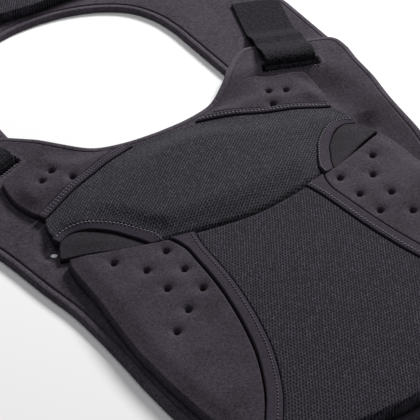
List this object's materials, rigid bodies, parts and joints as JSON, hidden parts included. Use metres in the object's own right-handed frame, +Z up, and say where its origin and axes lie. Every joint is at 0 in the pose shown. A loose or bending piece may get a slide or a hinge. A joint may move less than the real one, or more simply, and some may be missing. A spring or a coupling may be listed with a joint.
{
  "type": "roost deflector",
  "caption": "Soft padded chest and back guard laid open flat, inner side up: two foam panels round a neck opening, mesh and dented pads with stitched seams, joined by shoulder straps",
  "frame": {"origin": "centre of the footprint on the floor that the guard lies on", "axes": "+X across the chest towards the right of the picture, +Y along the panels from the front hem over the neck opening to the back hem, +Z up"},
  "size_m": [0.36, 0.797, 0.0215],
  "materials": {
    "smooth_cloth": "brushed cloth over foam, matt",
    "mesh_cloth": "spacer mesh, matt",
    "band_cloth": "stitched binding, matt",
    "webbing": "hook-and-loop webbing, matt"
  },
  "bodies": {
    "root": {"front_sheet": "smooth_cloth", "front_upper_mesh_pad": "mesh_cloth", "front_lower_mesh_pad": "mesh_cloth", "front_wing_band_right": "band_cloth", "front_hinge_wing_right": "smooth_cloth", "front_shoulder_band_right": "band_cloth", "front_shoulder_pad_right": "smooth_cloth", "front_lower_band_right": "band_cloth", "front_side_pad_right": "smooth_cloth", "front_wing_band_left": "band_cloth", "front_hinge_wing_left": "smooth_cloth", "front_shoulder_band_left": "band_cloth", "front_shoulder_pad_left": "smooth_cloth", "front_lower_band_left": "band_cloth", "front_side_pad_left": "smooth_cloth", "back_sheet": "smooth_cloth", "back_mesh_pad": "mesh_cloth", "back_band_right": "band_cloth", "back_side_pad_right": "smooth_cloth", "shoulder_strap_right": "webbing", "back_band_left": "band_cloth", "back_side_pad_left": "smooth_cloth", "shoulder_strap_left": "webbing"}
  },
  "joints": []
}
